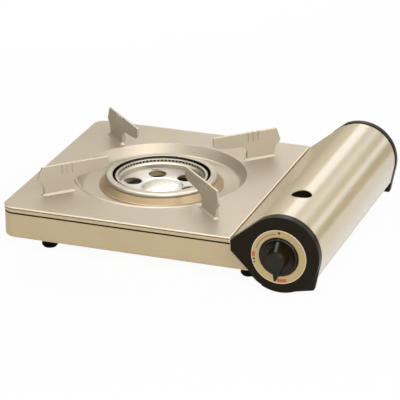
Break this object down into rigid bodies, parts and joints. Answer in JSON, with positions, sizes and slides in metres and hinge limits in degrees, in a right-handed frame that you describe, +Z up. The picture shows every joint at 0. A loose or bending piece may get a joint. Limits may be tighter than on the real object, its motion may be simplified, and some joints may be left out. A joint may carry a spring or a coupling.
{
  "type": "cassette gas stove",
  "caption": "Slim tabletop gas stove: pressed plate with ring burner and folded pan supports, round canister bay under a hinged cover, and a turning control knob that works a spark igniter.",
  "frame": {"origin": "on the table, under the middle of the stove's bounding box", "axes": "+X to the right as the user faces it, towards the canister bay; +Y to the back; +Z up"},
  "size_m": [0.332, 0.2932, 0.0779],
  "materials": {
    "plate_paint": "satin champagne paint",
    "wall_paint": "satin champagne paint",
    "cover_paint": "gloss champagne paint",
    "trough_paint": "satin paint",
    "burner_steel": "bright spun steel",
    "port_steel": "pressed steel",
    "collar_steel": "satin tan paint",
    "plain_steel": "zinc plated",
    "zinc_casting": "as cast",
    "brass": "turned",
    "cap_plastic": "moulded, half matte",
    "knob_plastic": "moulded, half gloss",
    "dial_metal": "anodised gold beige",
    "magnet": "dark sintered",
    "igniter_plastic": "moulded",
    "cam_plastic": "moulded",
    "lead_rubber": "silicone sleeve",
    "ceramic": "glazed ceramic",
    "foot_rubber": "matte"
  },
  "bodies": {
    "stove": {"base_tray": "wall_paint", "top_plate": "plate_paint", "support_front_left": "plate_paint", "support_front_right": "plate_paint", "support_rear_left": "plate_paint", "support_rear_right": "plate_paint", "burner_collar": "collar_steel", "burner_rim": "burner_steel", "port_ring": "port_steel", "air_dish": "burner_steel", "mixing_tube": "plain_steel", "gas_jet": "brass", "gas_pipe": "plain_steel", "regulator": "zinc_casting", "canister_seat": "magnet", "valve_bracket": "plain_steel", "bay_trough": "trough_paint", "front_cap": "cap_plastic", "rear_cap": "cap_plastic", "dial_ring": "dial_metal", "hinge_pins": "plain_steel", "igniter_body": "igniter_plastic", "igniter_lead": "lead_rubber", "spark_electrode": "ceramic", "feet": "foot_rubber", "foot_screws": "plain_steel"},
    "cover": {"canister_cover": "cover_paint"},
    "knob": {"control_knob": "knob_plastic", "spindle": "plain_steel", "igniter_cam": "cam_plastic"},
    "plunger": {"igniter_plunger": "igniter_plastic"}
  },
  "joints": [
    {"name": "cover_hinge", "type": "hinge", "parent": "stove", "child": "cover", "pos_m": [0.1587, 0, 0.01806], "axis": [0, 1, 0], "range_deg": [0, 100]},
    {"name": "knob_turn", "type": "hinge", "parent": "stove", "child": "knob", "pos_m": [0.1262, -0.1316, 0.0377], "axis": [0, 1, 0], "range_deg": [0, 175]},
    {"name": "plunger_slide", "type": "slide", "parent": "stove", "child": "plunger", "axis": [-1, 0, 0], "range_m": [0, 0.0048]}
  ],
  "couplings": [
    {"joint": "plunger_slide", "follows": "knob_turn", "m_per_rad": 0.0015}
  ]
}
